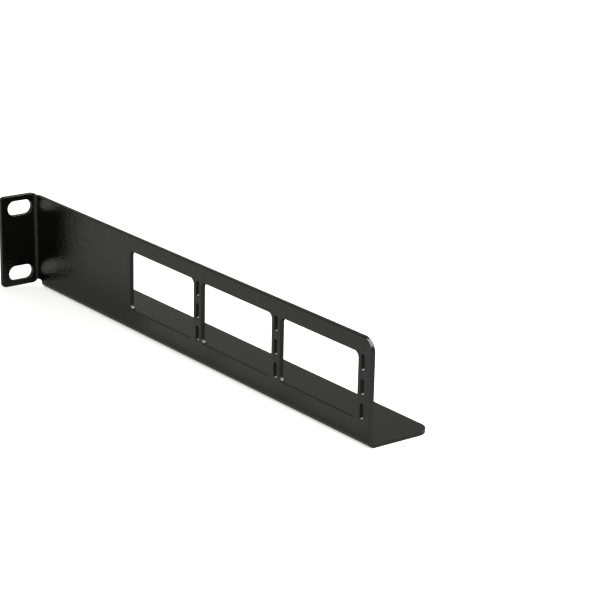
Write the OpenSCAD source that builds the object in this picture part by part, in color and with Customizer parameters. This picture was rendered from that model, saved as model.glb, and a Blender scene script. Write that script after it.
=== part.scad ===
// Right-hand ear bracket of a 1U rack-mount pair, folded from one steel sheet.
// The ear bolts to the rack's front rail, the web runs back beside the device,
// and the shelf under it carries the device. The left-hand bracket is its mirror image.
// Frame: the origin is midway between the two ear slots, on the ear's rear face.
// +X points out past the ear's free edge, +Y to the back of the rack, +Z up.

/* [Sheet] */
// Thickness of the sheet
sheet_t = 2; // [1:0.1:3]
// Inside radius of both folds
fold_r = 1.6; // [0.8:0.1:3]

/* [Ear] */
// Width of the ear, from the outer face of the web
ear_w = 18.8; // [17:0.1:28]
// Height of the ear, for one rack unit
ear_h = 44; // [42:0.1:48]
// Radius of the ear's corners
ear_corner_r = 2; // [0.5:0.1:4]
// Lower edge of the ear, above the underside of the shelf
ear_base = 2; // [0:0.1:3]
// Step from the top of the ear down to the top of the web
ear_step = 1.3; // [0:0.1:3]

/* [Ear slots] */
// Distance between the two slots, set by the rack's hole spacing
slot_pitch = 31.75; // [25:0.05:33]
// Length of a slot, from end to end
slot_len = 12.8; // [8:0.1:14]
// Height of a slot, to clear an M6 screw
slot_h = 7; // [5:0.1:8]
// Middle of the slots, from the outer face of the web
slot_x = 8.7; // [8:0.1:11]

/* [Web] */
// Length of the bracket, from the rear face of the ear to the back end
web_len = 252; // [200:1:400]
// Radius of the web's upper back corner
web_corner_r = 6; // [1:0.5:15]

/* [Windows] */
// Number of windows
window_n = 3; // [1:1:3]
// Width of a window
window_w = 50; // [20:1:58]
// Width of the post between two windows
post_w = 6; // [5:0.5:12]
// Width of the post behind the last window
end_post_w = 8; // [6:0.5:20]
// Metal left above a window
top_rail_h = 7; // [4:0.1:12]
// Metal left below a window, from the underside of the shelf
base_rail_h = 10.7; // [8:0.1:16]
// Radius of a window's corners
window_r = 2.5; // [0.5:0.1:6]

/* [Cable-tie slots] */
// Number of cable-tie slots beside each window
tie_n = 3; // [1:1:4]
// Width of a cable-tie slot
tie_w = 2.2; // [1.5:0.1:3]
// Metal left between two cable-tie slots
tie_land = 3; // [2:0.1:5]

/* [Shelf] */
// Width of the shelf, from the outer face of the web
shelf_w = 32; // [20:0.5:80]
// Start of the shelf, behind the ear's fold
shelf_setback = 1; // [0.5:0.1:5]
// Radius of the shelf's front corner
shelf_front_r = 3; // [0.5:0.5:10]
// Radius of the shelf's back corner
shelf_back_r = 6; // [0.5:0.5:15]

/* [Hidden] */
$fn = 64;
// How far a cutter runs past the face that it opens
past = 1;
// Outside radius of a fold, which is also where the web's flat part ends
fold_out_r = fold_r + sheet_t;
web_h = ear_base + ear_h - ear_step;
// The shelf starts here, in Y
shelf_y = fold_r + shelf_setback;
// The relief between the two folds is half as wide as the fold is high
relief_r = fold_r / 2;
// On the flat sheet the ear's round corners end at the middle of the fold. Folded, that is here, in X.
ear_root_x = fold_r * (1 - PI / 4);
window_h = web_h - top_rail_h - base_rail_h;
window_pitch = window_w + post_w;
first_window_y = web_len - end_post_w - window_n * window_pitch + post_w;
tie_len = (window_h - (tie_n - 1) * tie_land) / tie_n;
tie_pitch = tie_len + tie_land;
// A cable-tie slot stands in the middle of a post between two windows
tie_inset = post_w / 2;
slot_mid_z = ear_base + ear_h / 2;

// ---- flat shapes ----

// A rectangle with its lower left corner at the origin and four round corners
module round_rect(w, h, r) {
    translate([0, r]) square([w, h - 2 * r]);
    translate([r, 0]) square([w - 2 * r, h]);
    for (x = [r, w - r], y = [r, h - r])
        translate([x, y]) circle(r);
}

// A slot with round ends, lying along X and centred on the origin
module slot_shape(length, height) {
    square([length - height, height], center = true);
    for (end = [-1, 1])
        translate([end * (length - height) / 2, 0]) circle(height / 2);
}

// What rounding takes off a corner that points to +X and +Y and lies at the origin
module corner_waste(r) {
    translate([-r, -r])
        difference() {
            square(r + past);
            circle(r);
        }
}

// A quarter of a folded sheet's section, in the quarter below and left of its centre
module fold_shape() {
    difference() {
        intersection() {
            circle(fold_out_r);
            translate([-fold_out_r, -fold_out_r]) square(fold_out_r);
        }
        circle(fold_r);
    }
}

// ---- directions of extrusion ----

// Extrudes a shape drawn in X and Z from y = from to y = to
module along_y(from, to) {
    translate([0, to, 0]) rotate([90, 0, 0]) linear_extrude(to - from) children();
}

// Extrudes a shape drawn in Y and Z through the web
module through_web(from = -sheet_t - past, to = past) {
    translate([from, 0, 0]) rotate([90, 0, 90]) linear_extrude(to - from) children();
}

// ---- the folded sheet, with the web's outer face at x = 0,
//      the ear's rear face at y = 0 and the shelf's underside at z = 0 ----

// Section of the ear, its fold and the start of the web, seen from above
module ear_plan() {
    translate([fold_r, -sheet_t]) square([ear_w - fold_r, sheet_t]);
    translate([fold_r, fold_r]) fold_shape();
    translate([-sheet_t, fold_r]) square([sheet_t, shelf_y - fold_r]);
}

// Outline of the ear, seen from the front, with the band that folds into the web
module ear_outline() {
    translate([ear_root_x, ear_base]) round_rect(ear_w - ear_root_x, ear_h, ear_corner_r);
    translate([-sheet_t - past, fold_out_r])
        square([sheet_t + past + ear_root_x + ear_corner_r, web_h - fold_out_r]);
}

module folded_ear() {
    intersection() {
        translate([0, 0, ear_base]) linear_extrude(ear_h) ear_plan();
        along_y(-sheet_t - past, shelf_y + past) ear_outline();
    }
}

// Section of the web, its fold and the shelf, seen from the back
module web_section() {
    translate([-sheet_t, fold_out_r]) square([sheet_t, web_h - fold_out_r]);
    translate([-fold_out_r, fold_out_r]) mirror([1, 0]) fold_shape();
    translate([-shelf_w, 0]) square([shelf_w - fold_out_r, sheet_t]);
}

module folded_sheet() {
    folded_ear();
    along_y(shelf_y, web_len) web_section();
}

// ---- what is cut from it ----

module ear_slots() {
    along_y(-sheet_t - past, past)
        for (side = [-1, 1])
            translate([slot_x, slot_mid_z + side * slot_pitch / 2])
                slot_shape(slot_len, slot_h);
}

module windows() {
    through_web()
        for (i = [0 : window_n - 1])
            translate([first_window_y + i * window_pitch, base_rail_h])
                round_rect(window_w, window_h, window_r);
}

module tie_slots() {
    through_web()
        for (i = [0 : window_n - 1], j = [0 : tie_n - 1])
            translate([first_window_y + i * window_pitch + window_w + tie_inset,
                       base_rail_h + tie_len / 2 + j * tie_pitch])
                rotate(90) slot_shape(tie_len, tie_w);
}

// The web's upper back corner
module web_corner() {
    through_web() translate([web_len, web_h]) corner_waste(web_corner_r);
}

// The shelf's two free corners
module shelf_corners() {
    translate([0, 0, -past]) linear_extrude(sheet_t + 2 * past) {
        translate([-shelf_w, web_len]) mirror([1, 0]) corner_waste(shelf_back_r);
        translate([-shelf_w, shelf_y]) rotate(180) corner_waste(shelf_front_r);
    }
}

// The round relief where the two folds meet
module fold_relief() {
    through_web(from = -fold_out_r)
        translate([shelf_y, sheet_t + relief_r]) circle(relief_r);
}

module bracket() {
    color([0.11, 0.11, 0.11])
        translate([-slot_x, 0, -slot_mid_z])
            difference() {
                folded_sheet();
                ear_slots();
                windows();
                tie_slots();
                web_corner();
                shelf_corners();
                fold_relief();
            }
}

bracket();
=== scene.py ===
"""Looks of a folded rack bracket: black powder coat on sheet steel, on a white studio floor.

Metres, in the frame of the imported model: +X out past the ear, +Y to the rack's back, +Z up.
"""

import math

import bmesh
import bpy
from mathutils import Matrix, Vector


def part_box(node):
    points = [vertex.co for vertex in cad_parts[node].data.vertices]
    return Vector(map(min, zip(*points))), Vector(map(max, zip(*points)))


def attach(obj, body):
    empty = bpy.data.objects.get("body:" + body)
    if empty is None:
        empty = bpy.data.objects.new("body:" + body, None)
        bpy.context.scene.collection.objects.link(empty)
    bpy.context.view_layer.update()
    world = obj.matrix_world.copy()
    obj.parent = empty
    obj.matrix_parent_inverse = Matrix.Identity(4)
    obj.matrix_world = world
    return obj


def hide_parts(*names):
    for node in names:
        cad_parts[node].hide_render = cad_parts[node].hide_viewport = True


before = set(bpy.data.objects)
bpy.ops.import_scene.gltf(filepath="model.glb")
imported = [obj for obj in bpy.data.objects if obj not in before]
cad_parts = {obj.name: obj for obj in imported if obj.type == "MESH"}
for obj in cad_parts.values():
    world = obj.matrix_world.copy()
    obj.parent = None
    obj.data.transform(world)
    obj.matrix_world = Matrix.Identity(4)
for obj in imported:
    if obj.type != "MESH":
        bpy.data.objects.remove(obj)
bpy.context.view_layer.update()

MM = 0.001
QUARTER_TURN = math.pi / 2

# ---- camera ----
VIEW_AZIMUTH = 142.606
VIEW_ELEVATION = 17.807
VIEW_ROLL = 1.278
VIEW_DISTANCE = 804.72 * MM
VIEW_TARGET = Vector((-8.7 * MM, 206.65 * MM, 24.5 * MM))
LENS = 122.441
SENSOR = 36.0
CLIP_NEAR = 0.01
CLIP_FAR = 50.0

# ---- bracket, in the sizes of the solid ----
SHEET_T = 2.0 * MM
FOLD_R = 1.6 * MM
FOLD_OUT_R = FOLD_R + SHEET_T
EAR_W = 18.8 * MM
EAR_H = 44.0 * MM
EAR_CORNER_R = 2.0 * MM
EAR_BASE = 2.0 * MM
WEB_LEN = 252.0 * MM
WEB_H = 44.7 * MM
WEB_CORNER_R = 6.0 * MM
SHELF_W = 32.0 * MM
SHELF_FRONT = 2.6 * MM
SHELF_FRONT_R = 3.0 * MM
SHELF_BACK_R = 6.0 * MM
RELIEF_R = FOLD_R / 2
EAR_SLOT = (12.8 * MM, 7.0 * MM)
EAR_SLOT_X = 8.7 * MM
EAR_SLOT_PITCH = 31.75 * MM
EAR_SLOT_COUNT = 2
WINDOW = (50.0 * MM, 27.0 * MM)
WINDOW_R = 2.5 * MM
WINDOW_COUNT = 3
WINDOW_PITCH = 56.0 * MM
FIRST_WINDOW = (82.0 * MM, 10.7 * MM)
TIE_SLOT = (2.2 * MM, 7.0 * MM)
TIE_COUNT = 3
TIE_PITCH = 10.0 * MM
TIE_INSET = 3.0 * MM
# Where the flat parts of the ear and the shelf start on the flat sheet, beyond their folds
EAR_START = FOLD_R - FOLD_R * QUARTER_TURN
SHELF_START = FOLD_OUT_R - FOLD_OUT_R * QUARTER_TURN
# The sheet is folded with the web's outer face at X = 0, the ear's rear face at Y = 0 and the
# shelf's underside at Z = 0, and is then moved by this
TO_FRAME = Vector((-EAR_SLOT_X, 0, -(EAR_BASE + EAR_H / 2)))
# Radius of the inner corners that the punch leaves in the outline
PUNCH_R = 0.4 * MM
# Radius where the relief runs out into the shelf's front edge
LIP_R = 0.48 * MM
# Radius of a coated edge where the punch went in, and of the same at the cable-tie slots
COATED_EDGE_R = 0.32 * MM
TIE_EDGE_R = 0.16 * MM
# Radius of an edge where the punch came out
BURR_EDGE_R = 0.02 * MM
# Facets across a rounded edge
EDGE_STEPS = 3
# Edges that turn more than this are cut edges
CUT_EDGE_ANGLE = math.radians(35)
# Largest turn from one facet of a punched curve to the next
FACET_ANGLE = math.radians(6)
# Strips that each fold bends in
FOLD_STEPS = 12
# Points closer than this are one point
WELD_GAP = 0.001 * MM
# A point this near to a window's wall is on it
ON_WALL = 0.1 * MM
# A face looks along an axis when its normal has at least this much of it
FACING = 0.95
# How far the large faces outweigh the small ones in the smoothed normals, of 100
FLATNESS = 100

# ---- powder coat ----
# Sizes of the fine pebbles, of the soft waves under them, and of patches of other gloss
PEBBLE_SIZE = 0.95 * MM
WAVE_SIZE = 5.0 * MM
PATCH_SIZE = 30.0 * MM
PATTERN_DETAIL = 2.0
# How high the waves are, as a share of the pebbles, and how deep the whole grain is
WAVE_SHARE = 0.6
GRAIN_DEPTH = 0.17 * MM
# Its black, from the low parts of the pebbles to the high ones
COAT_BLACKS = [(0.3, (0.0003, 0.0004, 0.0003, 1.0)), (0.7, (0.0008, 0.0009, 0.0008, 1.0))]
COAT_IOR = 1.5
# Roughness of the coat, and what patches, cut walls and dull walls add to it
COAT_ROUGHNESS = 0.10
PATCH_ROUGHNESS = 0.05
CUT_ROUGHNESS = 0.09
DULL_ROUGHNESS = 0.80
# How much of its grain the coat loses on a cut wall
CUT_SMOOTHING = 0.75
# The attributes that mark the cut walls, and how dull the coat dries on them. Little powder
# reaches the upright walls of the web's openings, and least those of the narrow cable-tie
# slots. The outline and the ear slots stay nearly as glossy as the faces.
CUT_WALL = "cut_wall"
DULL_WALL = "dull_wall"
TIE_SLOT_DULLNESS = 1.0
WINDOW_DULLNESS = 0.4
OUTLINE_DULLNESS = 0.08

# ---- studio ----
FLOOR_SIZE = 12.0
# The floor's colour in bounced light, and its glow in reflections
FLOOR_WHITE = 0.6
FLOOR_GLOW = 0.1
# The same to the camera, so that the floor looks white and keeps the shadow
FLOOR_SEEN_WHITE = 1.35
FLOOR_SEEN_GLOW = 0.52
WHITE = (1.0, 1.0, 1.0, 1.0)
# The lamps and the walls are a little warmer than pure white
LAMP_WHITE = (1.0, 1.0, 0.95)
# What both lamps point at
LAMP_AIM = Vector((-15.0, 125.0, 0.0)) * MM
# The key is a long soft box above the shelf's side, lying along the bracket
KEY_DIRECTION = Vector((-0.57, 0.34, 0.74))
KEY_ALONG = Vector((-0.05, 0.92, -0.39))
KEY_DISTANCE = 1.2
KEY_SIZE = (0.27, 1.15)
KEY_RADIANCE = 11.0
# The fill is a square soft box beyond the back end, on the camera's side
FILL_DIRECTION = Vector((0.3, 0.82, 0.48))
FILL_ALONG = Vector((0, 1, 0))
FILL_DISTANCE = 0.75
FILL_SIZE = (0.6, 0.6)
FILL_RADIANCE = 2.6
# The studio's walls light the bracket evenly from all round
WALL_LIGHT = 0.27


def direction_of(azimuth, elevation):
    """The unit vector from the object to a viewer at this azimuth and elevation, in degrees."""
    a, e = math.radians(azimuth), math.radians(elevation)
    return Vector((math.sin(a) * math.cos(e), -math.cos(a) * math.cos(e), math.sin(e)))


def turned_to(direction, roll=0.0):
    """A rotation whose +Z points along direction and whose +X is level, then rolled, in degrees."""
    z = direction.normalized()
    x = Vector((0, 0, 1)).cross(z).normalized()
    y = z.cross(x)
    level = Matrix((x, y, z)).transposed()
    return level @ Matrix.Rotation(math.radians(roll), 3, "Z")


def add_object(name, data):
    """Puts new data into the scene as an object."""
    made = bpy.data.objects.new(name, data)
    bpy.context.scene.collection.objects.link(made)
    return made


def place_camera():
    """A long lens on the web's outer side, beyond its back end and a little above it."""
    data = bpy.data.cameras.new("camera")
    data.sensor_width = SENSOR
    data.lens = LENS
    data.clip_start = CLIP_NEAR
    data.clip_end = CLIP_FAR
    camera = add_object("camera", data)
    back = direction_of(VIEW_AZIMUTH, VIEW_ELEVATION)
    camera.matrix_world = (
        Matrix.Translation(VIEW_TARGET + VIEW_DISTANCE * back)
        @ turned_to(back, VIEW_ROLL).to_4x4()
    )
    bpy.context.scene.camera = camera


# ---- node trees ----


class Value:
    """A node's socket, which adds its own Math nodes when Python does arithmetic on it."""

    def __init__(self, tree, socket):
        self.tree = tree
        self.socket = socket

    def __add__(self, other):
        return self.tree.math("ADD", self, other)

    def __radd__(self, other):
        return self.tree.math("ADD", other, self)

    def __sub__(self, other):
        return self.tree.math("SUBTRACT", self, other)

    def __rsub__(self, other):
        return self.tree.math("SUBTRACT", other, self)

    def __mul__(self, other):
        return self.tree.math("MULTIPLY", self, other)

    def __rmul__(self, other):
        return self.tree.math("MULTIPLY", other, self)

    def __truediv__(self, other):
        return self.tree.math("DIVIDE", self, other)

    def __rtruediv__(self, other):
        return self.tree.math("DIVIDE", other, self)


class Tree:
    """A node tree, emptied, with one method that adds any node."""

    def __init__(self, node_tree):
        self.nodes = node_tree.nodes
        self.links = node_tree.links
        self.nodes.clear()

    def node(self, kind, settings=None, inputs=None, output=0):
        """Adds a node, makes its settings, fills its sockets, and returns one output.

        A socket takes a value, a link, or a list of links where it joins several.
        """
        made = self.nodes.new(kind)
        for name, setting in (settings or {}).items():
            if name == "stops":
                self._set_stops(made.color_ramp, setting)
            else:
                setattr(made, name, setting)
        for name, given in (inputs or {}).items():
            socket = made.inputs[name]
            for one in given if isinstance(given, list) else [given]:
                if isinstance(one, Value):
                    self.links.new(one.socket, socket)
                else:
                    socket.default_value = one
        return Value(self, made.outputs[output]) if made.outputs else made

    def math(self, operation, *values):
        return self.node("ShaderNodeMath", {"operation": operation}, dict(enumerate(values)))

    @staticmethod
    def _set_stops(ramp, stops):
        while len(ramp.elements) < len(stops):
            ramp.elements.new(1.0)
        for element, (place, colour) in zip(ramp.elements, stops):
            element.position = place
            element.color = colour


def shader_tree(owner):
    """The node tree of a material or of the world."""
    owner.use_nodes = True
    return Tree(owner.node_tree)


def powder_coat():
    """Semi-gloss black powder coat: fine pebbles, with larger soft waves where it flowed out."""
    material = bpy.data.materials.new("black_powder_coat")
    tree = shader_tree(material)
    place = tree.node("ShaderNodeTexCoord", output="Object")

    def pattern(size):
        """Soft random spots of about this size, from 0 to 1."""
        return tree.node(
            "ShaderNodeTexNoise",
            inputs={"Vector": place, "Scale": 1 / size, "Detail": PATTERN_DETAIL},
            output="Fac",
        )

    def mark(name):
        """What an attribute of the mesh says, from 0 to 1."""
        return tree.node("ShaderNodeAttribute", {"attribute_name": name}, output="Fac")

    pebbles, waves, patches = pattern(PEBBLE_SIZE), pattern(WAVE_SIZE), pattern(PATCH_SIZE)
    cut, dull = mark(CUT_WALL), mark(DULL_WALL)
    grain = (pebbles + waves * WAVE_SHARE) * (1 - cut * CUT_SMOOTHING)
    bump = tree.node(
        "ShaderNodeBump",
        inputs={"Strength": 1.0, "Distance": GRAIN_DEPTH, "Height": grain},
        output="Normal",
    )
    colour = tree.node(
        "ShaderNodeValToRGB", {"stops": COAT_BLACKS}, {"Fac": pebbles}, output="Color"
    )
    gloss = COAT_ROUGHNESS + patches * PATCH_ROUGHNESS
    coat = tree.node(
        "ShaderNodeBsdfPrincipled",
        inputs={
            "Base Color": colour,
            "Roughness": gloss + cut * CUT_ROUGHNESS + dull * DULL_ROUGHNESS,
            "IOR": COAT_IOR,
            "Normal": bump,
        },
        output="BSDF",
    )
    tree.node("ShaderNodeOutputMaterial", inputs={"Surface": coat})
    return material


def floor_paint():
    """Matt white that looks pure white wherever some light falls, and keeps the shadow."""
    material = bpy.data.materials.new("studio_floor")
    tree = shader_tree(material)

    def ray(kind):
        return tree.node("ShaderNodeLightPath", output=kind)

    seen = ray("Is Camera Ray")
    mirrored = tree.math("MAXIMUM", ray("Is Glossy Ray"), ray("Is Transmission Ray"))
    shown = tree.math("MAXIMUM", seen, mirrored)
    white = seen * (FLOOR_SEEN_WHITE - FLOOR_WHITE) + FLOOR_WHITE
    matt = tree.node(
        "ShaderNodeBsdfDiffuse",
        inputs={
            "Color": tree.node(
                "ShaderNodeCombineColor", inputs={"Red": white, "Green": white, "Blue": white}
            )
        },
        output="BSDF",
    )
    glow = tree.node(
        "ShaderNodeEmission",
        inputs={
            "Color": WHITE,
            "Strength": shown * FLOOR_GLOW + seen * (FLOOR_SEEN_GLOW - FLOOR_GLOW),
        },
        output="Emission",
    )
    both = tree.node("ShaderNodeAddShader", inputs={0: matt, 1: glow}, output="Shader")
    tree.node("ShaderNodeOutputMaterial", inputs={"Surface": both})
    return material


# ---- pieces ----


def arc(centre, radius, start, end):
    """Points on an arc, from one angle to the other, in degrees. It may run either way."""
    steps = max(2, math.ceil(abs(math.radians(end - start)) / FACET_ANGLE))
    angles = [math.radians(start + (end - start) * i / steps) for i in range(steps + 1)]
    return [
        (centre[0] + radius * math.cos(a), centre[1] + radius * math.sin(a)) for a in angles
    ]


def ear_root(edge, corner, side):
    """The ear's round corner at its fold and the punch's inner corner beside it.

    edge is the height where the ear joins the web, corner is the middle of the round corner,
    and side is 1 above the ear and -1 below it. The points run from the web out to the ear.
    """
    reach = EAR_CORNER_R + PUNCH_R
    rise = side * (edge + side * PUNCH_R - corner[1])
    run = math.sqrt(reach**2 - rise**2)
    punch = (corner[0] + run, edge + side * PUNCH_R)
    lean = math.degrees(math.atan2(rise, run))
    inner = arc(punch, PUNCH_R, -side * 90, -side * (180 - lean))
    outer = arc(corner, EAR_CORNER_R, side * lean, side * 90)
    return inner + outer[1:]


def blank_outline():
    """The flat sheet's outline, with Y along the bracket and Z up, as the punch cuts it."""
    ear_end = EAR_START - (EAR_W - FOLD_R)
    ear_middle = FOLD_R - FOLD_R * QUARTER_TURN / 2
    shelf_end = SHELF_START - (SHELF_W - FOLD_OUT_R)
    ear_low, ear_high = EAR_BASE + EAR_CORNER_R, EAR_BASE + EAR_H - EAR_CORNER_R
    out, root = ear_end + EAR_CORNER_R, ear_middle - EAR_CORNER_R

    # The round relief runs out into the shelf's front edge over a small round
    relief = (SHELF_FRONT, FOLD_OUT_R - RELIEF_R)
    lip = (
        SHELF_FRONT + LIP_R,
        relief[1] - math.sqrt((RELIEF_R + LIP_R) ** 2 - LIP_R**2),
    )
    lean = math.degrees(math.atan2(lip[1] - relief[1], lip[0] - relief[0]))

    points = arc((out, ear_low), EAR_CORNER_R, 180, 270)
    points += ear_root(FOLD_OUT_R, (root, ear_low), -1)[::-1]
    points += arc(relief, RELIEF_R, 90, lean)
    points += arc(lip, LIP_R, lean + 180, 180)[1:]
    points += arc(
        (SHELF_FRONT + SHELF_FRONT_R, shelf_end + SHELF_FRONT_R), SHELF_FRONT_R, 180, 270
    )
    points += arc(
        (WEB_LEN - SHELF_BACK_R, shelf_end + SHELF_BACK_R), SHELF_BACK_R, 270, 360
    )
    points += arc((WEB_LEN - WEB_CORNER_R, WEB_H - WEB_CORNER_R), WEB_CORNER_R, 0, 90)
    points += ear_root(WEB_H, (root, ear_high), 1)
    points += arc((out, ear_high), EAR_CORNER_R, 90, 180)
    return points


class ShapeTree(Tree):
    """A Geometry Nodes tree that is built, used once as a modifier, and applied."""

    def __init__(self, name):
        self.group = bpy.data.node_groups.new(name, "GeometryNodeTree")
        super().__init__(self.group)
        self.settings = {}
        for way in ("INPUT", "OUTPUT"):
            self.group.interface.new_socket(
                "Geometry", in_out=way, socket_type="NodeSocketGeometry"
            )
        self.geometry = self.node("NodeGroupInput", output="Geometry")

    def given(self, name, value, kind="NodeSocketFloat"):
        """A named input of the tree, with the value that the modifier sets on it."""
        socket = self.group.interface.new_socket(name, in_out="INPUT", socket_type=kind)
        self.settings[socket.identifier] = value
        return self.node("NodeGroupInput", output=name)

    def join(self, *parts):
        """Several shapes as one."""
        return self.node("GeometryNodeJoinGeometry", inputs={"Geometry": list(parts)})

    def run(self, obj, result, coat):
        """Ends the tree, runs it on the object as a modifier, and returns the plain mesh."""
        whole = self.node("GeometryNodeRealizeInstances", inputs={"Geometry": result})
        coated = self.node(
            "GeometryNodeSetMaterial",
            inputs={
                "Geometry": whole,
                "Material": self.given("Coat", coat, "NodeSocketMaterial"),
            },
        )
        self.node("NodeGroupOutput", inputs={"Geometry": coated})
        modifier = obj.modifiers.new(self.group.name, "NODES")
        modifier.node_group = self.group
        for identifier, value in self.settings.items():
            modifier[identifier] = value
        return plain_mesh(obj)


def plain_mesh(obj):
    """The object's mesh with its modifiers applied. The modifiers are removed."""
    bpy.context.view_layer.update()
    ready = obj.evaluated_get(bpy.context.evaluated_depsgraph_get())
    mesh = bpy.data.meshes.new_from_object(ready)
    obj.modifiers.clear()
    return mesh


def punched_blank(coat):
    """The flat sheet with its windows and slots, with Y along the bracket and Z up."""
    outline = bpy.data.meshes.new("outline")
    points = blank_outline()
    outline.from_pydata(
        [(y, z, 0) for y, z in points],
        [(i, (i + 1) % len(points)) for i in range(len(points))],
        [],
    )
    blank = add_object("blank", outline)
    tree = ShapeTree("punched_blank")

    def hole(name, size, radius):
        """One hole's outline, centred on the origin."""
        plain = tree.node(
            "GeometryNodeCurvePrimitiveQuadrilateral",
            {"mode": "RECTANGLE"},
            {
                "Width": tree.given(name + " width", size[0]),
                "Height": tree.given(name + " height", size[1]),
            },
        )
        return tree.node(
            "GeometryNodeFilletCurve",
            {"mode": "POLY"},
            {
                "Curve": plain,
                "Radius": tree.given(name + " corner radius", radius),
                "Count": tree.given(
                    name + " corner steps",
                    math.ceil(QUARTER_TURN / FACET_ANGLE) - 1,
                    "NodeSocketInt",
                ),
                "Limit Radius": True,
            },
        )

    def row(name, shape, first, step, count):
        """Copies of a shape in a row."""
        places = tree.node(
            "GeometryNodeMeshLine",
            {"mode": "OFFSET"},
            {
                "Count": tree.given(name + " count", count, "NodeSocketInt"),
                "Start Location": tree.given(name + " first", first, "NodeSocketVector"),
                "Offset": tree.given(name + " step", step, "NodeSocketVector"),
            },
        )
        return tree.node(
            "GeometryNodeInstanceOnPoints", inputs={"Points": places, "Instance": shape}
        )

    first_window = (FIRST_WINDOW[0] + WINDOW[0] / 2, FIRST_WINDOW[1] + WINDOW[1] / 2, 0)
    window_step = (WINDOW_PITCH, 0, 0)
    windows = row(
        "Window", hole("Window", WINDOW, WINDOW_R), first_window, window_step, WINDOW_COUNT
    )
    tie_column = row(
        "Tie slot",
        hole("Tie slot", TIE_SLOT, TIE_SLOT[0] / 2),
        (WINDOW[0] / 2 + TIE_INSET, -TIE_PITCH * (TIE_COUNT - 1) / 2, 0),
        (0, TIE_PITCH, 0),
        TIE_COUNT,
    )
    tie_slots = row("Tie column", tie_column, first_window, window_step, WINDOW_COUNT)
    ear_slots = row(
        "Ear slot",
        hole("Ear slot", EAR_SLOT, EAR_SLOT[1] / 2),
        (
            EAR_START - (EAR_SLOT_X - FOLD_R),
            EAR_BASE + EAR_H / 2 - EAR_SLOT_PITCH / 2,
            0,
        ),
        (0, EAR_SLOT_PITCH, 0),
        EAR_SLOT_COUNT,
    )
    edge = tree.node("GeometryNodeMeshToCurve", inputs={"Mesh": tree.geometry})
    cuts = tree.node(
        "GeometryNodeRealizeInstances",
        inputs={"Geometry": tree.join(windows, tie_slots, ear_slots)},
    )
    face = tree.node(
        "GeometryNodeFillCurve", {"mode": "NGONS"}, {"Curve": tree.join(edge, cuts)}
    )
    front = tree.node(
        "GeometryNodeExtrudeMesh",
        {"mode": "FACES"},
        {
            "Mesh": face,
            "Offset": (0, 0, 1),
            "Offset Scale": tree.given("Sheet thickness", SHEET_T),
            "Individual": False,
        },
        output="Mesh",
    )
    back = tree.node("GeometryNodeFlipFaces", inputs={"Mesh": face})
    slab = tree.node(
        "GeometryNodeMergeByDistance",
        inputs={"Geometry": tree.join(front, back), "Distance": WELD_GAP},
    )
    # The blank stands on edge, with its outer face at X = 0
    upright = tree.node(
        "GeometryNodeTransform",
        inputs={
            "Geometry": slab,
            "Translation": (-SHEET_T, 0, 0),
            "Rotation": (QUARTER_TURN, 0, QUARTER_TURN),
        },
    )
    mesh = tree.run(blank, upright, coat)
    bpy.data.objects.remove(blank)
    return mesh


def in_window_row(point):
    """Whether a point of the upright blank is level with the windows, and among them."""
    along = point.y - FIRST_WINDOW[0]
    up = point.z - FIRST_WINDOW[1]
    return -ON_WALL < along < WINDOW_COUNT * WINDOW_PITCH and 0 < up < WINDOW[1]


def in_tie_slot(point):
    """Whether a point on a cut wall of the upright blank belongs to a cable-tie slot."""
    from_window = (point.y - FIRST_WINDOW[0]) % WINDOW_PITCH
    from_column = from_window - WINDOW[0] - TIE_INSET
    return in_window_row(point) and abs(from_column) < TIE_INSET - ON_WALL


def edge_radius(edge):
    """How round a cut edge of the upright blank becomes."""
    middle = (edge.verts[0].co + edge.verts[1].co) / 2
    if middle.x < -SHEET_T / 2:
        return BURR_EDGE_R
    return TIE_EDGE_R if in_tie_slot(middle) else COATED_EDGE_R


def mark_cut_walls(shape):
    """Marks the walls that the punch cut, and how dull the coat dries on each."""
    cut = shape.faces.layers.float.new(CUT_WALL)
    dull = shape.faces.layers.float.new(DULL_WALL)
    for face in shape.faces:
        if abs(face.normal.x) > FACING:
            continue
        face[cut] = 1.0
        middle = face.calc_center_median()
        if not in_window_row(middle):
            face[dull] = OUTLINE_DULLNESS
        elif abs(face.normal.y) > FACING:
            face[dull] = TIE_SLOT_DULLNESS if in_tie_slot(middle) else WINDOW_DULLNESS


def round_cut_edges(mesh):
    """Marks the cut walls and rounds their edges, hardly where the punch came out."""
    shape = bmesh.new()
    shape.from_mesh(mesh)
    weight = shape.edges.layers.float.new("bevel_weight_edge")
    for edge in shape.edges:
        if edge.calc_face_angle(0) > CUT_EDGE_ANGLE:
            edge[weight] = edge_radius(edge) / COATED_EDGE_R
    mark_cut_walls(shape)
    shape.to_mesh(mesh)
    shape.free()
    mesh.shade_smooth()
    blank = add_object("rounded_blank", mesh)
    edges = blank.modifiers.new("coated_edges", "BEVEL")
    edges.width = COATED_EDGE_R
    edges.segments = EDGE_STEPS
    edges.limit_method = "WEIGHT"
    edges.use_clamp_overlap = False
    edges.loop_slide = False
    rounded = plain_mesh(blank)
    bpy.data.objects.remove(blank)
    return rounded


def score_folds(mesh):
    """Cuts the flat faces into narrow strips where the sheet will bend."""
    shape = bmesh.new()
    shape.from_mesh(mesh)
    for radius, axis in ((FOLD_R, Vector((0, 1, 0))), (FOLD_OUT_R, Vector((0, 0, 1)))):
        for step in range(FOLD_STEPS + 1):
            place = radius - radius * QUARTER_TURN * step / FOLD_STEPS
            bmesh.ops.bisect_plane(
                shape,
                geom=shape.verts[:] + shape.edges[:] + shape.faces[:],
                dist=WELD_GAP,
                plane_co=axis * place,
                plane_no=axis,
            )
    shape.to_mesh(mesh)
    shape.free()


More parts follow.
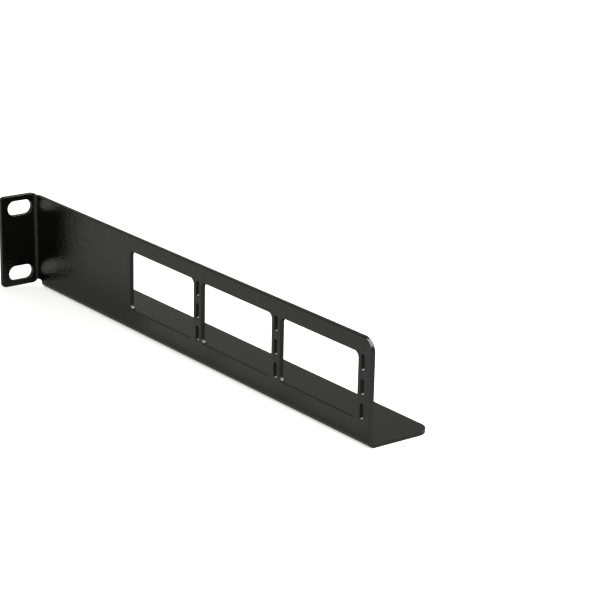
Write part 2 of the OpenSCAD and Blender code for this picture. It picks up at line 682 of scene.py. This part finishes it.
def folded(mesh, coat):
    """Bends the flat sheet: the ear out along the rack's front, and the shelf in below."""
    sheet = add_object("scored_sheet", mesh)
    tree = ShapeTree("folded_sheet")
    small = tree.given("Inside radius", FOLD_R)
    large = small + tree.given("Sheet thickness", SHEET_T)
    place = tree.node("GeometryNodeInputPosition")
    x, y, z = (
        tree.node("ShaderNodeSeparateXYZ", inputs={"Vector": place}, output=axis)
        for axis in "XYZ"
    )

    def past(distance):
        """A distance where it is more than nothing, and nothing elsewhere."""
        return tree.math("MAXIMUM", distance, 0.0)

    def bend(start, radius):
        """How far the sheet has turned where it lies this far into a fold."""
        return tree.math("MINIMUM", past(start / radius), QUARTER_TURN)

    # The ear's fold, about an upright line outside the web
    turn = bend(small - y, small)
    reach = small - x
    beyond = past(small * (1 - QUARTER_TURN) - y)
    before = past(y - small)
    ear_x = small - reach * tree.math("COSINE", turn) + beyond
    ear_y = small - reach * tree.math("SINE", turn) + before

    # The shelf's fold, about a level line inside the web, and only behind the ear's fold
    behind = tree.math("GREATER_THAN", y, small)
    dip = behind * bend(large - z, large)
    depth = large + x
    under = behind * past(large * (1 - QUARTER_TURN) - z)
    above = past(z - large)
    shelf_x = depth * tree.math("COSINE", dip) - large - under
    shelf_z = large - depth * tree.math("SINE", dip) + above

    new_x = ear_x * (1 - behind) + shelf_x * behind
    new_z = z * (1 - behind) + shelf_z * behind
    bent = tree.node(
        "GeometryNodeSetPosition",
        inputs={
            "Geometry": tree.geometry,
            "Position": tree.node(
                "ShaderNodeCombineXYZ", inputs={"X": new_x, "Y": ear_y, "Z": new_z}
            ),
        },
    )
    placed = tree.node(
        "GeometryNodeTransform",
        inputs={"Geometry": bent, "Translation": TO_FRAME},
    )
    result = tree.run(sheet, placed, coat)
    bpy.data.objects.remove(sheet)
    return result


def coated_bracket():
    """The bracket, made the way the real one is: punched, rounded by its coat, and folded."""
    coat = powder_coat()
    blank = round_cut_edges(punched_blank(coat))
    score_folds(blank)
    mesh = folded(blank, coat)
    mesh.name = "coated_bracket"
    mesh.shade_smooth()
    bracket = add_object("coated_bracket", mesh)
    smooth = bracket.modifiers.new("flat_faces_stay_flat", "WEIGHTED_NORMAL")
    smooth.mode = "FACE_AREA"
    smooth.weight = FLATNESS
    bracket.data = plain_mesh(bracket)
    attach(bracket, "root")
    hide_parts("bracket")


def studio_floor():
    """A wide floor that the shelf's underside stands on."""
    mesh = bpy.data.meshes.new("floor")
    half, z = FLOOR_SIZE / 2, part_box("bracket")[0].z
    corners = [(-half, -half, z), (half, -half, z), (half, half, z), (-half, half, z)]
    mesh.from_pydata(corners, [], [(0, 1, 2, 3)])
    mesh.materials.append(floor_paint())
    floor = add_object("floor", mesh)


def soft_box(name, direction, along, distance, size, radiance):
    """A lamp that faces the bracket, lying along a direction.

    size is its width across that direction and its length along it, and radiance is how
    bright it looks.
    """
    width, length = size
    data = bpy.data.lights.new(name, "AREA")
    data.shape = "RECTANGLE"
    data.size, data.size_y = length, width
    data.color = LAMP_WHITE
    data.energy = radiance * math.pi * width * length
    lamp = add_object(name, data)
    z = direction.normalized()
    x = (along - z * z.dot(along)).normalized()
    y = z.cross(x)
    lamp.matrix_world = (
        Matrix.Translation(LAMP_AIM + distance * z)
        @ Matrix((x, y, z)).transposed().to_4x4()
    )


def studio_walls():
    """Soft even light from all round."""
    world = bpy.data.worlds.new("studio")
    bpy.context.scene.world = world
    tree = shader_tree(world)
    back = tree.node(
        "ShaderNodeBackground",
        inputs={"Color": (*LAMP_WHITE, 1.0), "Strength": WALL_LIGHT},
        output="Background",
    )
    tree.node("ShaderNodeOutputWorld", inputs={"Surface": back})


bpy.context.scene.view_settings.view_transform = "Standard"
place_camera()
studio_walls()
studio_floor()
soft_box("key", KEY_DIRECTION, KEY_ALONG, KEY_DISTANCE, KEY_SIZE, KEY_RADIANCE)
soft_box("fill", FILL_DIRECTION, FILL_ALONG, FILL_DISTANCE, FILL_SIZE, FILL_RADIANCE)
coated_bracket()
